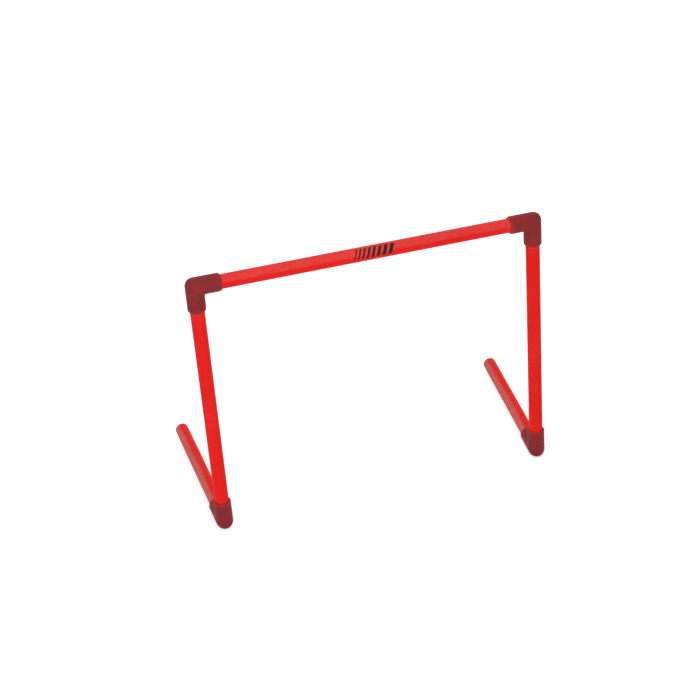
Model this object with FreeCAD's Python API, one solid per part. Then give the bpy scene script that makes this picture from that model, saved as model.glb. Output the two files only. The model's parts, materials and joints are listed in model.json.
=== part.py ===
import FreeCAD, Part
import math
import os
from FreeCAD import Vector

# A gate-shaped training hurdle: a crossbar on two uprights, each on a foot that runs back
# along the floor. Five plain tubes are pushed into four moulded elbows, which turn on them.
# Millimetres and degrees. X runs along the crossbar, Y back along the feet, Z up.
# The origin is on the floor, under the middle of the crossbar.

# The frame, between tube axes, and how far each foot is turned outwards.
span = 600.0
bar_rise = 460.0
foot_reach = 340.0
left_toe_out_degrees = 1.0
right_toe_out_degrees = 7.0

# The tube.
tube_diameter = 25.0
tube_wall = 2.0

# The elbows: the wall round a socket, the shoulder that stops a tube, the lead-in that guides it
# into the mouth, and how round the bend's outer corner is, as a share of the elbow's radius.
socket_wall = 3.3
stop_shoulder = 3.5
lead_in = 0.5
lead_in_depth = 1.5
top_corner_share = 0.9
heel_corner_share = 0.65

# The lip at each mouth: how far it tapers, and how thick it is left. The foot elbows' are squarer.
top_lip_length = 4.5
top_lip_wall = 0.9
foot_lip_length = 1.6
foot_lip_wall = 2.1

# Each socket: from the elbow's centre to the stop shoulder, and how deep the tube goes in.
top_stop = 19.0
top_depth = 26.0
ankle_stop = 14.0
ankle_depth = 26.0
foot_stop = 19.0
foot_depth = 32.0

# Fits: round a tube in its socket, and between a stop and the end of a tube that turns.
socket_clearance = 0.05
turning_gap = 0.2
cut_overrun = 1.0

tube_radius = tube_diameter / 2
bore_radius = tube_radius - tube_wall
socket_radius = tube_radius + socket_clearance
passage_radius = socket_radius - stop_shoulder
elbow_radius = socket_radius + socket_wall
foot_height = elbow_radius
bar_height = foot_height + bar_rise
sides = {"left": -1, "right": 1}
toe_out_degrees = {"left": left_toe_out_degrees, "right": right_toe_out_degrees}

ORIGIN = Vector(0, 0, 0)
ALONG_X = Vector(1, 0, 0)
ALONG_Y = Vector(0, 1, 0)
ALONG_Z = Vector(0, 0, 1)


def bar_end(side):
    """Where the crossbar's axis meets an upright's."""
    return Vector(sides[side] * span / 2, 0, bar_height)


def ankle(side):
    """Where an upright's axis meets its foot's."""
    return Vector(sides[side] * span / 2, 0, foot_height)


def foot_direction(side):
    turn = math.radians(toe_out_degrees[side])
    return Vector(sides[side] * math.sin(turn), math.cos(turn), 0)


def tube(start, direction, length):
    outer = Part.makeCylinder(tube_radius, length, start, direction)
    return outer.cut(Part.makeCylinder(bore_radius, length, start, direction))


def socket_boss(reach, direction, lip_length, lip_wall):
    """The outside of one socket, from the elbow's centre to a lip that tapers to the mouth."""
    straight = reach - lip_length
    barrel = Part.makeCylinder(elbow_radius, straight, ORIGIN, direction)
    mouth_radius = socket_radius + lip_wall
    return barrel.fuse(Part.makeCone(elbow_radius, mouth_radius, lip_length, direction * straight, direction))


def socket_bore(stop, depth, direction):
    """The seat of a tube with its lead-in, and the narrower passage from its stop to the bend."""
    seat = Part.makeCylinder(socket_radius, depth + cut_overrun, direction * stop, direction)
    funnel_start = direction * (stop + depth - lead_in_depth)
    funnel = Part.makeCone(socket_radius, socket_radius + lead_in, lead_in_depth, funnel_start, direction)
    return seat.fuse([funnel, Part.makeCylinder(passage_radius, stop, ORIGIN, direction)])


def bend_corner(rounding):
    """The outer corner of the bend: the two round bosses carried on to their mitre, and rounded
    by a side profile that is the same all across the width."""
    edge = -elbow_radius
    start = edge + rounding
    middle = start - rounding * math.sqrt(0.5)
    corners = [Vector(edge, y, z) for y, z in ((start, edge), (0, edge), (0, 0), (edge, 0), (edge, start))]
    arc = Part.Arc(corners[-1], Vector(edge, middle, middle), corners[0])
    profile = Part.Wire([Part.makeLine(a, b) for a, b in zip(corners, corners[1:])] + [arc.toShape()])
    prism = Part.Face(profile).extrude(ALONG_X * 2 * elbow_radius)
    rounds = [Part.makeCylinder(elbow_radius, elbow_radius, ORIGIN, -axis) for axis in (ALONG_Y, ALONG_Z)]
    return prism.common(rounds[0]).common(rounds[1])


def elbow(z_stop, z_depth, y_stop, y_depth, lip_length, lip_wall, corner_share):
    """An elbow with its centre at the origin, one socket along Z and one along Y."""
    skin = socket_boss(z_stop + z_depth, ALONG_Z, lip_length, lip_wall)
    y_boss = socket_boss(y_stop + y_depth, ALONG_Y, lip_length, lip_wall)
    skin = skin.fuse([y_boss, bend_corner(corner_share * elbow_radius)])
    hollow = [socket_bore(z_stop, z_depth, ALONG_Z), socket_bore(y_stop, y_depth, ALONG_Y)]
    return skin.removeSplitter().cut(hollow)


def placed(shape, centre, z_direction, y_direction):
    """An elbow stood at its centre, with its two sockets along the given directions."""
    turn = FreeCAD.Rotation(y_direction.cross(z_direction), y_direction, z_direction, "ZYX")
    shape.Placement = FreeCAD.Placement(centre, turn)
    return shape


def crossbar_tube():
    setback = top_stop + turning_gap
    return tube(bar_end("left") + ALONG_X * setback, ALONG_X, span - 2 * setback)


def top_elbow(side):
    sockets = (top_stop, top_depth, top_stop, top_depth)
    shape = elbow(*sockets, top_lip_length, top_lip_wall, top_corner_share)
    return placed(shape, bar_end(side), -ALONG_Z, ALONG_X * -sides[side])


def upright_tube(side):
    setback = ankle_stop + turning_gap
    return tube(ankle(side) + ALONG_Z * setback, ALONG_Z, bar_rise - setback - top_stop)


def foot_elbow(side):
    sockets = (ankle_stop, ankle_depth, foot_stop, foot_depth)
    shape = elbow(*sockets, foot_lip_length, foot_lip_wall, heel_corner_share)
    return placed(shape, ankle(side), ALONG_Z, foot_direction(side))


def foot_tube(side):
    direction = foot_direction(side)
    return tube(ankle(side) + direction * foot_stop, direction, foot_reach - foot_stop)


nodes = {"crossbar_tube": crossbar_tube()}
for side in sides:
    nodes[side + "_top_elbow"] = top_elbow(side)
    nodes[side + "_upright_tube"] = upright_tube(side)
    nodes[side + "_foot_elbow"] = foot_elbow(side)
    nodes[side + "_foot_tube"] = foot_tube(side)

os.makedirs("parts", exist_ok=True)
for name, shape in nodes.items():
    shape.exportStep("parts/" + name + ".step")
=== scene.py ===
import json
import math
import bmesh
import bpy
import numpy as np
from mathutils import Matrix, Vector


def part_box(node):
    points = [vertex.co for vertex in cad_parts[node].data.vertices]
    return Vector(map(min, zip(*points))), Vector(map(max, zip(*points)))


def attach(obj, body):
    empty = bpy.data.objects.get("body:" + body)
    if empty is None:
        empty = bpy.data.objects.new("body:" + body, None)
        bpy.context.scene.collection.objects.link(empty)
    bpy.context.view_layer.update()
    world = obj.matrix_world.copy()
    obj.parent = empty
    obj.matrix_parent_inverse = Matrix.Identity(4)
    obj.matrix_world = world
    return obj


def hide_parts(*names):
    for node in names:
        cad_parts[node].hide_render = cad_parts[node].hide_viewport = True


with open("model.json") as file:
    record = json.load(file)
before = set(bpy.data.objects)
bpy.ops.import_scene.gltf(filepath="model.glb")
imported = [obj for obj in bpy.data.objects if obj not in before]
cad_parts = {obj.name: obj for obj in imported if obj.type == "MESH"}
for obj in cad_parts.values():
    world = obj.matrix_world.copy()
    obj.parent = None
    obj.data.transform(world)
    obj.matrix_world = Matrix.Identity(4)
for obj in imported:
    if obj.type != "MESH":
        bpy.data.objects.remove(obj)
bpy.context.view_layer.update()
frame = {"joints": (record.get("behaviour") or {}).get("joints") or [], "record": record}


# The crossbar is a length of extruded plastic tube, bright red right through, with a dull skin.
# It is sawn square, its edges are lightly broken, and an elbow is pushed on each end.
# Its upper side is painted paler and mottled, a painted sheen of the light from above. The same tube makes
# the uprights and the feet.
scene = bpy.context.scene
mounts = {mount["name"]: mount for mount in frame["record"]["mounts"]}
bar_low, bar_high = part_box("crossbar_tube")
bar_axis = (bar_low + bar_high) / 2
bar_start = Vector((bar_low.x, bar_axis.y, bar_axis.z))
bar_end = Vector((bar_high.x, bar_axis.y, bar_axis.z))
tube_radius = (bar_high.z - bar_low.z) / 2
tube_wall = tube_radius - mounts["left_foot_bore"]["dims"]["r_mm"] / 1000
tube_sides = 96
edge_break = 0.0003
edge_points = 3


class Wire:
    """One output in a node tree. Sums on wires add the nodes that work them out."""

    def __init__(self, socket):
        self.socket = socket
        self.tree = socket.id_data

    @classmethod
    def node(cls, tree, kind, settings=(), sockets=(), output=0):
        """Adds a node with its settings, then its sockets' values or links. Gives one output, if any."""
        made = tree.nodes.new(kind)
        for name, value in dict(settings).items():
            setattr(made, name, value)
        for name, value in dict(sockets).items():
            if isinstance(value, Wire):
                tree.links.new(value.socket, made.inputs[name])
            else:
                made.inputs[name].default_value = value
        return cls(made.outputs[output]) if made.outputs else None

    def math(self, operation, other=0.0, other_first=False):
        """A Math node on this wire and another value, in this order or the other way round."""
        pair = (other, self) if other_first else (self, other)
        return Wire.node(self.tree, "ShaderNodeMath", {"operation": operation}, enumerate(pair))

    def __add__(self, other):
        return self.math("ADD", other)

    def __sub__(self, other):
        return self.math("SUBTRACT", other)

    def __rsub__(self, other):
        return self.math("SUBTRACT", other, other_first=True)

    def __mul__(self, other):
        return self.math("MULTIPLY", other)

    def __truediv__(self, other):
        return self.math("DIVIDE", other)

    def __rtruediv__(self, other):
        return self.math("DIVIDE", other, other_first=True)

    __radd__ = __add__
    __rmul__ = __mul__


def axis_of(tree, vector, axis):
    """One axis of a vector."""
    return Wire.node(tree, "ShaderNodeSeparateXYZ", sockets={0: vector}, output=axis)


def vector_math(tree, operation, first, second=(0, 0, 0), output="Vector"):
    """A Vector Math node on two vectors."""
    return Wire.node(tree, "ShaderNodeVectorMath", {"operation": operation}, {0: first, 1: second}, output)


def over(tree, value, low, high):
    """0 below low and 1 above high, with a smooth step between."""
    limits = {"Value": value, "From Min": low, "From Max": high}
    return Wire.node(tree, "ShaderNodeMapRange", {"interpolation_type": "SMOOTHSTEP"}, limits)


def noise(tree, place, cells, detail):
    """Smooth noise from 0 to 1 with that many cells a metre along each axis."""
    spread = vector_math(tree, "MULTIPLY", place, cells)
    return Wire.node(tree, "ShaderNodeTexNoise", sockets={"Vector": spread, "Scale": 1.0, "Detail": detail})


def mix(tree, share, first, second):
    """One colour over another by a share. A Mix node takes two colours in sockets 6 and 7, and gives
    the result in output 2."""
    return Wire.node(tree, "ShaderNodeMix", {"data_type": "RGBA"}, {0: share, 6: first, 7: second}, 2)


def new_material(name):
    """A material with an empty tree."""
    material = bpy.data.materials.new(name)
    material.use_nodes = True
    material.node_tree.nodes.clear()
    return material, material.node_tree


def kept(tree, name, output="Fac"):
    """What was kept on the points of a shape under a name."""
    return Wire.node(tree, "ShaderNodeAttribute", {"attribute_name": name}, output=output)


def bumped(tree, relief, strength, depth):
    """A normal that follows a relief."""
    sockets = {"Strength": strength, "Distance": depth, "Height": relief}
    return Wire.node(tree, "ShaderNodeBump", sockets=sockets)


def skin(tree, sheen, varying):
    """Ends a material in one shader, with its sheen and what changes over its surface."""
    shader = Wire.node(tree, "ShaderNodeBsdfPrincipled", sockets={"Specular IOR Level": sheen, **varying})
    Wire.node(tree, "ShaderNodeOutputMaterial", sockets={"Surface": shader})


def tube_plastic():
    """Red plastic: fine lines from the die along the tube, a painted sheen that leaves one side paler
    and mottled, rubs where the sockets turn, and matt saw lines on the cut ends."""
    deep_red = (0.80, 0.0150, 0.0118, 1)
    bright_red = (0.84, 0.0180, 0.0140, 1)
    line_red = (0.66, 0.0060, 0.0055, 1)
    painted_sheen_pink = (0.60, 0.142, 0.126, 1)
    scuff_pink = (0.78, 0.15, 0.13, 1)
    turned_reach = 0.046
    turned_blur = 0.012
    material, tree = new_material("red_tube_plastic")
    place = kept(tree, "tube_place", "Vector")
    from_end = kept(tree, "half_length") - axis_of(tree, place, "Z").math("ABSOLUTE")
    cloud = noise(tree, place, cells=(22, 22, 9), detail=3)
    lines = noise(tree, place, cells=(700, 700, 6), detail=2)
    grain = noise(tree, place, cells=(1100, 1100, 900), detail=2)
    fine_mottle = noise(tree, place, cells=(430, 430, 330), detail=3)
    coarse_mottle = noise(tree, place, cells=(200, 200, 160), detail=3)
    mottle = fine_mottle * 0.5 + coarse_mottle * 0.5
    scratches = over(tree, noise(tree, place, cells=(45, 45, 1300), detail=4), 0.55, 0.68)
    turned = over(tree, turned_reach - from_end, 0.0, turned_blur)
    rubs = scratches * (over(tree, cloud, 0.54, 0.64) * 0.6 + turned * 0.7)
    saw_lines = over(tree, noise(tree, place, cells=(90, 1500, 90), detail=3), 0.4, 0.65)
    saw = kept(tree, "cut_end") * saw_lines
    # Painted sheen: the side where the light falls is mixed towards a pale pink, with a ragged, mottled
    # edge.
    ragged_edge = kept(tree, "painted_sheen_edge") + (cloud - 0.5) * 0.8 + (mottle - 0.5) * 3.0
    painted_sheen = over(tree, ragged_edge, -1.0, 1.0) * kept(tree, "sheen_paint") * (mottle * 4.0 - 1.0)
    red = mix(tree, over(tree, cloud, 0.3, 0.7), deep_red, bright_red)
    red = mix(tree, over(tree, lines, 0.35, 0.75) * 0.18, red, line_red)
    red = mix(tree, painted_sheen, red, painted_sheen_pink)
    red = mix(tree, rubs * 0.35 + saw * 0.45, red, scuff_pink)
    rough = 0.40 + cloud * 0.08 + grain * 0.06 + rubs * 0.12 + painted_sheen * 0.12 + saw * 0.2
    relief = lines * 0.5 + grain * 0.5 + mottle * painted_sheen * 0.5 - rubs * 0.3 - saw * 0.8
    normal = bumped(tree, relief, strength=0.12, depth=0.0002)
    skin(tree, sheen=0.05, varying={"Base Color": red, "Roughness": rough, "Normal": normal})
    return material


def new_tree(name, inputs):
    """A geometry tree with named inputs, and a wire from each."""
    tree = bpy.data.node_groups.new(name, "GeometryNodeTree")
    tree.interface.new_socket("Geometry", in_out="OUTPUT", socket_type="NodeSocketGeometry")
    for label, kind in inputs.items():
        tree.interface.new_socket(label, in_out="INPUT", socket_type="NodeSocket" + kind)
    return tree, {label: Wire.node(tree, "NodeGroupInput", output=label) for label in inputs}


def store(tree, shape, name, value, data_type="FLOAT"):
    """Keeps a value on the points of a shape, for its material to read."""
    settings = {"data_type": data_type, "domain": "POINT"}
    sockets = {"Geometry": shape, "Name": name, "Value": value}
    return Wire.node(tree, "GeometryNodeStoreNamedAttribute", settings, sockets)


def close_tree(tree, shape, material):
    """Ends a geometry tree in real faces, smooth but for their creases, with their material."""
    crease_angle = math.radians(6)
    crease = Wire.node(tree, "GeometryNodeInputMeshEdgeAngle").math("GREATER_THAN", crease_angle)
    real = Wire.node(tree, "GeometryNodeRealizeInstances", sockets={"Geometry": shape})
    smooth = Wire.node(tree, "GeometryNodeSetShadeSmooth", {"domain": "FACE"},
                       {"Geometry": real, "Shade Smooth": True})
    smooth = Wire.node(tree, "GeometryNodeSetShadeSmooth", {"domain": "EDGE"},
                       {"Geometry": smooth, "Selection": crease, "Shade Smooth": False})
    dressed = Wire.node(tree, "GeometryNodeSetMaterial", sockets={"Geometry": smooth, "Material": material})
    Wire.node(tree, "NodeGroupOutput", sockets={"Geometry": dressed})


def put(name, data):
    """A new object in the scene."""
    made = bpy.data.objects.new(name, data)
    scene.collection.objects.link(made)
    return made


def grow(tree, name, values):
    """Runs a geometry tree and keeps its result as a plain mesh."""
    carrier = put(name + ".carrier", bpy.data.meshes.new(name + ".carrier"))
    modifier = carrier.modifiers.new("shape", "NODES")
    modifier.node_group = tree
    for item in tree.interface.items_tree:
        if item.in_out == "INPUT":
            modifier[item.identifier] = values[item.name]
    evaluated = carrier.evaluated_get(bpy.context.evaluated_depsgraph_get())
    mesh = bpy.data.meshes.new_from_object(evaluated)
    carrier.modifiers.remove(modifier)
    bpy.data.objects.remove(carrier)
    return put(name, mesh)


def sawn_tube_tree():
    """A wall section spun round an axis: a tube with broken edges, set along a direction."""
    inputs = {"Middle": "Vector", "Direction": "Vector", "Length": "Float", "Outer Radius": "Float",
              "Wall": "Float", "Edge Break": "Float", "Edge Points": "Int", "Sides": "Int",
              "Sheen Side": "Vector", "Sheen Arc": "Float", "Sheen Blur": "Float", "Fade": "Float",
              "Material": "Material"}
    tree, given = new_tree("sawn_tube", inputs)
    middle_radius = given["Outer Radius"] - given["Wall"] / 2
    path = Wire.node(tree, "GeometryNodeCurvePrimitiveCircle",
                     sockets={"Resolution": given["Sides"], "Radius": middle_radius})
    section = Wire.node(tree, "GeometryNodeCurvePrimitiveQuadrilateral",
                        sockets={"Width": given["Wall"], "Height": given["Length"]})
    section = Wire.node(tree, "GeometryNodeFilletCurve", {"mode": "POLY"},
                        {"Curve": section, "Radius": given["Edge Break"], "Count": given["Edge Points"]})
    shape = Wire.node(tree, "GeometryNodeCurveToMesh", sockets={"Curve": path, "Profile Curve": section})
    normal = Wire.node(tree, "GeometryNodeInputNormal")
    place = Wire.node(tree, "GeometryNodeInputPosition")
    spoke = vector_math(tree, "MULTIPLY", place, (1, 1, 0))
    outside = vector_math(tree, "DOT_PRODUCT", normal, spoke, "Value").math("GREATER_THAN", 0.0)
    endways = axis_of(tree, normal, "Z").math("ABSOLUTE")
    shape = store(tree, shape, "tube_place", place, "FLOAT_VECTOR")
    # Kept for the material: where each point lies on the tube, the painted sheen's strength on the outside,
    # the half length and the cut ends.
    shape = store(tree, shape, "sheen_paint", given["Fade"] * outside)
    shape = store(tree, shape, "half_length", given["Length"] / 2)
    shape = store(tree, shape, "cut_end", over(tree, endways, 0.6, 0.9))
    turn = Wire.node(tree, "FunctionNodeAlignRotationToVector", {"axis": "Z"},
                     {"Vector": given["Direction"]})
    shape = Wire.node(tree, "GeometryNodeTransform",
                      sockets={"Geometry": shape, "Translation": given["Middle"], "Rotation": turn})
    # How far each point lies inside the arc of the painted sheen, over the blur of its edge.
    facing = vector_math(tree, "DOT_PRODUCT", normal, given["Sheen Side"], "Value")
    past_edge = facing - given["Sheen Arc"].math("COSINE")
    shape = store(tree, shape, "painted_sheen_edge", past_edge / given["Sheen Blur"])
    close_tree(tree, shape, given["Material"])
    return tree


red_plastic = tube_plastic()
tube_tree = sawn_tube_tree()


def sheen_paint(towards, arc, blur, strength):
    """A painted sheen that leaves one side of a tube paler and mottled: round which side, for how
    many degrees each way, how softly at the edge and how strongly."""
    return {"Sheen Side": Vector(towards).normalized(), "Sheen Arc": math.radians(arc),
            "Sheen Blur": blur, "Fade": strength}


def sawn_tube(name, node, body, start, end, painted_sheen):
    """A tube from one sawn end to the other, in place of its node."""
    run = end - start
    sizes = {"Middle": (start + end) / 2, "Direction": run, "Length": run.length,
             "Outer Radius": tube_radius, "Wall": tube_wall, "Edge Break": edge_break,
             "Edge Points": edge_points, "Sides": tube_sides, "Material": red_plastic}
    piece = grow(tube_tree, name, {**sizes, **painted_sheen})
    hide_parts(node)
    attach(piece, body)


sawn_tube("crossbar_pipe", "crossbar_tube", "crossbar", bar_start, bar_end,
          sheen_paint(towards=(0, 0.2, 0.98), arc=90, blur=0.12, strength=0.24))


# The mark on the crossbar is a row of slanted bars, each wider than the one before, that gives
# the middle of the bar at a glance. It is black ink, pad-printed on the tube in one thin coat.
mark_start = Vector((-0.025, bar_axis.y, bar_axis.z))


def print_ink():
    """Black ink with a soft sheen, thin in places and chipped to the red at a few points."""
    full_black = (0.006, 0.0045, 0.0045, 1)
    thin_black = (0.020, 0.009, 0.009, 1)
    bare_red = (0.60, 0.012, 0.010, 1)
    material, tree = new_material("black_print_ink")
    spot = Wire.node(tree, "ShaderNodeTexCoord", output="Object")
    thin = noise(tree, spot, cells=(260, 260, 260), detail=3)
    chips = over(tree, noise(tree, spot, cells=(900, 900, 900), detail=2), 0.68, 0.74)
    ink = mix(tree, over(tree, thin, 0.35, 0.7), full_black, thin_black)
    ink = mix(tree, chips * 0.6, ink, bare_red)
    rough = 0.42 + thin * 0.12 + chips * 0.1
    skin(tree, sheen=0.2, varying={"Base Color": ink, "Roughness": rough})
    return material


def joined(tree, x, y, z):
    """A vector from its three axes."""
    return Wire.node(tree, "ShaderNodeCombineXYZ", sockets={"X": x, "Y": y, "Z": z})


def slanted_bars_tree():
    """A row of thin bars that grow wider, leant over and wrapped round a tube along X."""
    inputs = {"Start": "Vector", "Radius": "Float", "Up Angle": "Float", "Count": "Int", "Rows": "Int",
              "First Width": "Float", "Growth": "Float", "Gap": "Float", "Height": "Float",
              "Slant": "Float", "Ink": "Float", "Material": "Material"}
    tree, given = new_tree("slanted_bars", inputs)
    index = Wire.node(tree, "GeometryNodeInputIndex")
    width = given["First Width"] + given["Growth"] * index
    grown = given["Growth"] * index * (index - 1.0) / 2.0
    before = index * (given["First Width"] + given["Gap"]) + grown
    spots = joined(tree, before + width / 2.0, 0.0, 0.0)
    row = Wire.node(tree, "GeometryNodePoints", sockets={"Count": given["Count"], "Position": spots})
    bar = Wire.node(tree, "GeometryNodeMeshCube", sockets={"Vertices Y": given["Rows"], "Size": (1, 1, 1)})
    size = joined(tree, width, given["Height"], given["Ink"])
    row = Wire.node(tree, "GeometryNodeInstanceOnPoints",
                    sockets={"Points": row, "Instance": bar, "Scale": size})
    row = Wire.node(tree, "GeometryNodeRealizeInstances", sockets={"Geometry": row})
    flat = Wire.node(tree, "GeometryNodeInputPosition")
    along, across, thick = (axis_of(tree, flat, axis) for axis in "XYZ")
    angle = given["Up Angle"] + across / given["Radius"]
    reach = given["Radius"] + thick
    back = 0.0 - reach * angle.math("COSINE")
    wrapped = joined(tree, along + across * given["Slant"], back, reach * angle.math("SINE"))
    row = Wire.node(tree, "GeometryNodeSetPosition",
                    sockets={"Geometry": row, "Position": wrapped, "Offset": given["Start"]})
    close_tree(tree, row, given["Material"])
    return tree


mark = {"Start": mark_start, "Radius": tube_radius, "Up Angle": math.radians(27), "Count": 8, "Rows": 15,
        "First Width": 0.0022, "Growth": 0.00065, "Gap": 0.0045, "Height": 0.0195, "Slant": 0.4,
        "Ink": 0.00006, "Material": print_ink()}
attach(grow(slanted_bars_tree(), "crossbar_print", mark), "crossbar")


# The top elbows are moulded in a darker red, matt plastic with a fine spark-eroded skin.
# Each is a sharp bend with a rounded corner, two sockets with crowned lips, and a hairline
# along the middle where the halves of the mould met.
sides = {"left": -1, "right": 1}
joints = {joint["name"]: Vector(joint["pos_m"]) for joint in frame["joints"]}
down = Vector((0, 0, -1))
elbow_radius = joints["left_leg_swing"].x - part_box("left_top_elbow")[0].x
socket_clearance = 0.00005
socket_radius = tube_radius + socket_clearance
stop_shoulder = 0.0035
passage_radius = socket_radius - stop_shoulder
passage_round = passage_radius / 3
lead_in = 0.0005
lead_depth = 0.0015
crotch_round = 0.004
seam_height = 0.00012
seam_half_width = 0.0004
lip_crown = 1.7
rub_and_highlight_reach = 0.009
quarter_points = 22
lip_rings = 9
bend_rings = 15
passage_rings = 7
top_stop = 0.019
top_lip = (0.0045, 0.0009)
top_corner_share = 0.9


def elbow_plastic():
    """Dark red plastic: a fine moulded grain, soft clouding, redder rubbed lips with a painted
    highlight along the mouth's rim, and a scuffed underside where an elbow stands on the floor."""
    cool_maroon = (0.196, 0.0125, 0.0190, 1)
    warm_maroon = (0.262, 0.0145, 0.0120, 1)
    grain_maroon = (0.30, 0.026, 0.028, 1)
    lip_red_and_highlight = (0.42, 0.0130, 0.0130, 1)
    scuff_and_highlight_red = (0.46, 0.070, 0.066, 1)
    scuff_height = 0.006
    scuff_blur = 0.005
    material, tree = new_material("maroon_elbow_plastic")
    spot = Wire.node(tree, "ShaderNodeTexCoord", output="Object")
    rub_and_highlight = kept(tree, "rub_and_highlight")
    cloud = noise(tree, spot, cells=(55, 55, 55), detail=3)
    grain = noise(tree, spot, cells=(2300, 2300, 2300), detail=2)
    specks = noise(tree, spot, cells=(420, 420, 420), detail=3)
    # Rubbed lips with a painted highlight along the mouth's rim: redder, and speckled pale at the edge.
    worn_and_highlight = over(tree, rub_and_highlight + specks * 0.7, 1.05, 1.5)
    underside = over(tree, scuff_height - axis_of(tree, spot, "Z"), 0.0, scuff_blur)
    floor_rub = underside * over(tree, specks, 0.35, 0.6)
    maroon = mix(tree, over(tree, cloud, 0.3, 0.7), cool_maroon, warm_maroon)
    maroon = mix(tree, over(tree, grain, 0.4, 0.8) * 0.22, maroon, grain_maroon)
    maroon = mix(tree, rub_and_highlight * (0.4 + cloud * 0.8), maroon, lip_red_and_highlight)
    maroon = mix(tree, worn_and_highlight * 0.2 + floor_rub * 0.4, maroon, scuff_and_highlight_red)
    rough = 0.54 + cloud * 0.08 + grain * 0.08 - worn_and_highlight * 0.1 + floor_rub * 0.1
    normal = bumped(tree, grain + specks * 0.4, strength=0.2, depth=0.0001)
    skin(tree, sheen=0.22, varying={"Base Color": maroon, "Roughness": rough, "Normal": normal})
    return material


def ring_angles():
    """Angles round a socket from the heel side, closer together at the mould's seam."""
    step = seam_half_width / elbow_radius / 2
    quarter = [0, step, 2 * step, *np.linspace(4 * step, math.pi / 2, quarter_points)]
    half = quarter + [math.pi - angle for angle in reversed(quarter[:-1])]
    return np.array(half + [2 * math.pi - angle for angle in reversed(half[1:-1])])


def bend_rows(across, heel_round, angles, count):
    """Rings round the bend from one arm to the other. Each shrinks towards the two flanks, so that
    the heel and the crotch are rounded and the flanks stay as wide as the arms."""
    depth = np.abs(np.cos(angles))
    on_heel = np.cos(angles) >= 0
    turn = np.where(on_heel, heel_round, crotch_round)
    centre = np.where(on_heel, turn - across, turn + across)
    rows = []
    for swing in np.linspace(0, math.pi / 2, count):
        y = depth * (centre - turn * math.cos(swing))
        z = depth * (centre - turn * math.sin(swing))
        rows.append(np.stack([across * np.sin(angles), y, z], axis=1))
    return rows


def arm_ring(reach, across, angles, along_z):
    """A flat ring round one arm."""
    side = across * np.sin(angles)
    back = -across * np.cos(angles)
    far = np.full(len(angles), reach)
    return np.stack([side, back, far] if along_z else [side, far, back], axis=1)


def arm_rows(reach, stop, lip_length, lip_wall, across, angles, along_z):
    """Rings of one socket, with how much rub and painted rim highlight each has: the barrel
    and its lip, and the bore inside.
    """
    mouth_radius = socket_radius + lip_wall
    outside = []
    for back in (rub_and_highlight_reach, (rub_and_highlight_reach + lip_length) / 2, *np.linspace(lip_length, 0, lip_rings)):
        share = min(back / lip_length, 1)
        lip = mouth_radius + (across - mouth_radius) * (1 - (1 - share) ** lip_crown)
        outside.append((arm_ring(reach - back, lip, angles, along_z), 1 - back / rub_and_highlight_reach))
    mouth_edge = mouth_radius - (lip_wall - lead_in) / 2
    inside = [(mouth_edge, reach, 1.0), (socket_radius + lead_in, reach, 0.6),
              (socket_radius, reach - lead_depth, 0.0), (socket_radius, stop, 0.0),
              (passage_radius, stop, 0.0)]
    return outside, [(arm_ring(far, wide, angles, along_z), worn_and_highlight) for wide, far, worn_and_highlight in inside]


def unmarked(rings):
    """Rings with no rub and no painted rim highlight."""
    return [(ring, 0.0) for ring in rings]


def between(first, last):
    """Three rings evenly spaced from one ring to another."""
    return [first + (last - first) * share for share in (0.25, 0.5, 0.75)]


def shell(name, rows, centre, turn):
    """A closed mesh through rings of points, the last joined to the first, turned and put in place."""
    merge_distance = 1e-7
    crease_angle = math.radians(32)
    shape = bmesh.new()
    rub_and_highlight = shape.verts.layers.float.new("rub_and_highlight")
    grid = []
    for ring, worn_and_highlight in rows:
        grid.append([shape.verts.new(centre + turn @ Vector(point)) for point in ring])
        for vert in grid[-1]:
            vert[rub_and_highlight] = worn_and_highlight
    around = len(grid[0])
    for row, following in zip(grid, grid[1:] + grid[:1]):
        for index in range(around):
            after = (index + 1) % around
            shape.faces.new((row[index], row[after], following[after], following[index])).smooth = True
    bmesh.ops.remove_doubles(shape, verts=shape.verts, dist=merge_distance)
    bmesh.ops.recalc_face_normals(shape, faces=shape.faces)
    for edge in shape.edges:
        edge.smooth = edge.calc_face_angle(0) < crease_angle
    mesh = bpy.data.meshes.new(name)
    shape.to_mesh(mesh)
    shape.free()
    return mesh


maroon_plastic = elbow_plastic()


def moulded_elbow(name, node, body, centre, z_way, y_way, z_socket, y_socket, lip, corner_share):
    """A hollow elbow with one socket along each way, in place of its node. A socket is how far it
    reaches and where it stops a tube, and a lip how far it tapers and how thick it is left."""
    angles = ring_angles()
    off_seam = np.minimum(np.abs(np.sin(angles)) * elbow_radius / seam_half_width, 1)
    across = elbow_radius - seam_height * (1 - (1 - off_seam) ** 2)
    z_out, z_in = arm_rows(*z_socket, *lip, across, angles, True)
    y_out, y_in = arm_rows(*y_socket, *lip, across, angles, False)
    bend = bend_rows(across, corner_share * elbow_radius, angles, bend_rings)
    passage = bend_rows(passage_radius, passage_round, angles, passage_rings)
    z_barrel = between(z_out[0][0], bend[0])
    y_barrel = between(bend[-1], y_out[0][0])
    rows = z_out[::-1] + unmarked(z_barrel + bend + y_barrel) + y_out
    rows += y_in + unmarked(passage[::-1]) + z_in[::-1]
    mesh = shell(name, rows, centre, Matrix((y_way.cross(z_way), y_way, z_way)).transposed())
    mesh.materials.append(maroon_plastic)
    piece = put(name, mesh)
    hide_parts(node)
    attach(piece, body)


for side, sign in sides.items():
    centre = joints[side + "_leg_swing"]
    inwards = Vector((-sign, 0, 0))
    socket = (centre.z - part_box(side + "_top_elbow")[0].z, top_stop)
    moulded_elbow(side + "_top_moulding", side + "_top_elbow", side + "_leg", centre, down, inwards,
                  socket, socket, top_lip, top_corner_share)


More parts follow.
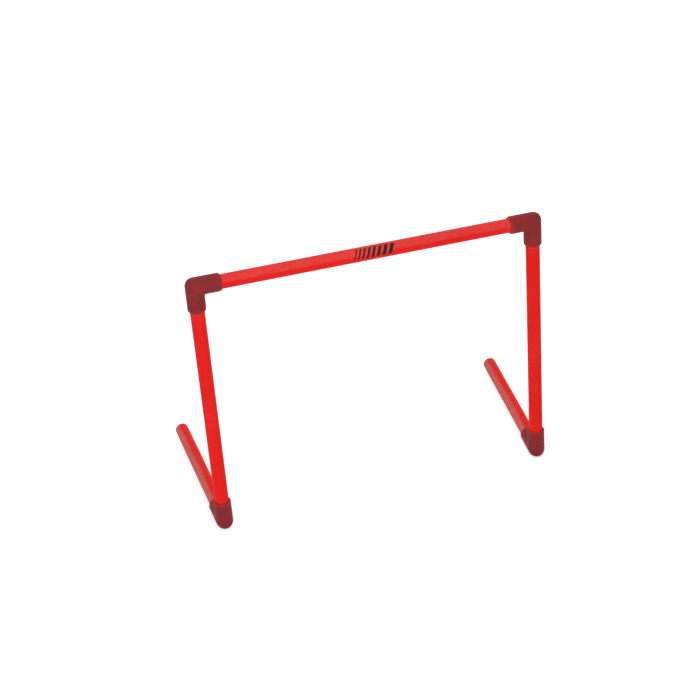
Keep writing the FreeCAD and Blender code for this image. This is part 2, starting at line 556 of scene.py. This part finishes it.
# The uprights are two lengths of the same red tube. Each stands in a foot elbow
# and carries a top elbow, held by nothing but the fit of the sockets. A weak painted
# sheen leaves their back sides a little paler and mottled.
for side in sides:
    low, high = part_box(side + "_upright_tube")
    axis = (low + high) / 2
    start = Vector((axis.x, axis.y, low.z))
    end = Vector((axis.x, axis.y, high.z))
    sawn_tube(side + "_upright_pipe", side + "_upright_tube", side + "_leg", start, end,
              sheen_paint(towards=(0, 1, 0), arc=80, blur=0.4, strength=0.17))


# The foot elbows are mouldings of the same dark red plastic, with squarer lips, a short socket for
# the upright and a longer one for the foot. They stand on the floor and are rubbed under the heel.
up = Vector((0, 0, 1))
foot_ways = {side: Vector(mounts[side + "_foot_bore"]["axis"]) for side in sides}
ankle_stop = 0.014
foot_stop = 0.019
foot_depth = 0.032
foot_lip = (0.0016, 0.0021)
heel_corner_share = 0.65
for side in sides:
    centre = joints[side + "_foot_swivel"]
    ankle_socket = (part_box(side + "_foot_elbow")[1].z - centre.z, ankle_stop)
    foot_socket = (foot_stop + foot_depth, foot_stop)
    moulded_elbow(side + "_foot_moulding", side + "_foot_elbow", side + "_foot", centre, up,
                  foot_ways[side], ankle_socket, foot_socket, foot_lip, heel_corner_share)


# The feet are two more lengths of the tube. They run back along the floor from the foot
# elbows, and their far ends are left open and plain. Their left sides carry the strongest
# painted sheen, paler and mottled.
painted_sheen_arcs = {"left": 53, "right": 46}
for side in sides:
    bore = mounts[side + "_foot_bore"]
    middle = Vector(bore["pos_m"])
    half = foot_ways[side] * bore["dims"]["length_mm"] / 1000 / 2
    sawn_tube(side + "_foot_pipe", side + "_foot_tube", side + "_foot", middle - half, middle + half,
              sheen_paint(towards=(-0.966, 0, 0.259), arc=painted_sheen_arcs[side], blur=0.3, strength=0.95))


# The floor is a wide sheet of white card. It glows where it is looked at, so that it goes to plain
# white, and near the hurdle the glow is weak enough to keep a soft shadow.
floor_half = 6.0
card_white = (0.8, 0.8, 0.8, 1)
near_glow = 0.53
near_edge = 1.2
far_edge = 3.0


def seen(tree):
    """1 where the camera looks, straight, in a reflection or through something clear, else 0."""
    rays = ("Is Camera Ray", "Is Glossy Ray", "Is Transmission Ray")
    straight, mirrored, through = (Wire.node(tree, "ShaderNodeLightPath", output=ray) for ray in rays)
    return straight.math("MAXIMUM", mirrored).math("MAXIMUM", through)


def white_card():
    """White card with a glow that grows to full white away from the middle."""
    material, tree = new_material("white_card")
    spot = Wire.node(tree, "ShaderNodeTexCoord", output="Object")
    far = vector_math(tree, "LENGTH", spot, output="Value")
    level = near_glow + over(tree, far, near_edge, far_edge) * (1 - near_glow)
    paper = Wire.node(tree, "ShaderNodeBsdfDiffuse", sockets={"Color": card_white})
    glow = Wire.node(tree, "ShaderNodeEmission", sockets={"Strength": seen(tree) * level})
    both = Wire.node(tree, "ShaderNodeAddShader", sockets={0: paper, 1: glow})
    Wire.node(tree, "ShaderNodeOutputMaterial", sockets={"Surface": both})
    return material


corners = [(x * floor_half, y * floor_half, 0) for x, y in ((-1, -1), (1, -1), (1, 1), (-1, 1))]
sheet = bpy.data.meshes.new("floor")
sheet.from_pydata(corners, [], [(0, 1, 2, 3)])
sheet.materials.append(white_card())
floor = put("floor", sheet)


# The light is a white room with three soft boxes: a broad one above, one in front, and a weak
# one behind that is kept out of reflections. Colours are shown as they are written.
scene.view_settings.view_transform = "Standard"
wall_white = (1, 1, 1, 1)
room_level = 0.52
light_aim = Vector((0, 0.1, 0.25))
soft_boxes = {"top": ((-0.3, 0.6, 3.6), 3.2, 33.0), "front": ((-0.8, -2.4, 1.3), 1.6, 30.0),
              "back": ((0.9, 2.6, 1.7), 1.6, 9.0)}
room = bpy.data.worlds.new("white_room")
room.use_nodes = True
room.node_tree.nodes.clear()
wall_level = room_level + seen(room.node_tree) * (1 - room_level)
walls = Wire.node(room.node_tree, "ShaderNodeBackground",
                  sockets={"Color": wall_white, "Strength": wall_level})
Wire.node(room.node_tree, "ShaderNodeOutputWorld", sockets={"Surface": walls})
scene.world = room
for label, (place, width, watts) in soft_boxes.items():
    lamp = bpy.data.lights.new(label + "_soft_box", "AREA")
    lamp.size = width
    lamp.energy = watts
    holder = put(label + "_soft_box", lamp)
    holder.location = place
    holder.rotation_euler = (light_aim - Vector(place)).to_track_quat("-Z", "Y").to_euler()
    holder.visible_glossy = label != "back"


# The camera stands in front, a little to the left and well above, and is tipped a few degrees.
# Its place and its lens were fitted to the tubes in the photograph, whose frame is square.
azimuth = math.radians(-15.134)
elevation = math.radians(28.030)
roll = math.radians(4.561)
distance = 2.7431
frame_offset = Vector((0.0458, 0.0387))
frame_pixels = 700
lens_pixels = 1562.4
level = Vector((math.cos(azimuth), math.sin(azimuth), 0))
ahead = up.cross(level) * math.cos(elevation) + down * math.sin(elevation)
below = ahead.cross(level)
right = level * math.cos(roll) + below * math.sin(roll)
under = below * math.cos(roll) - level * math.sin(roll)
middle_height = (joints["left_leg_swing"].z + joints["left_foot_swivel"].z) / 2
viewpoint = up * middle_height - right * frame_offset.x - under * frame_offset.y - ahead * distance
camera = bpy.data.cameras.new("camera")
camera.lens = camera.sensor_width * lens_pixels / frame_pixels
viewer = put("camera", camera)
viewer.matrix_world = Matrix.Translation(viewpoint) @ Matrix((right, -under, -ahead)).transposed().to_4x4()
scene.camera = viewer
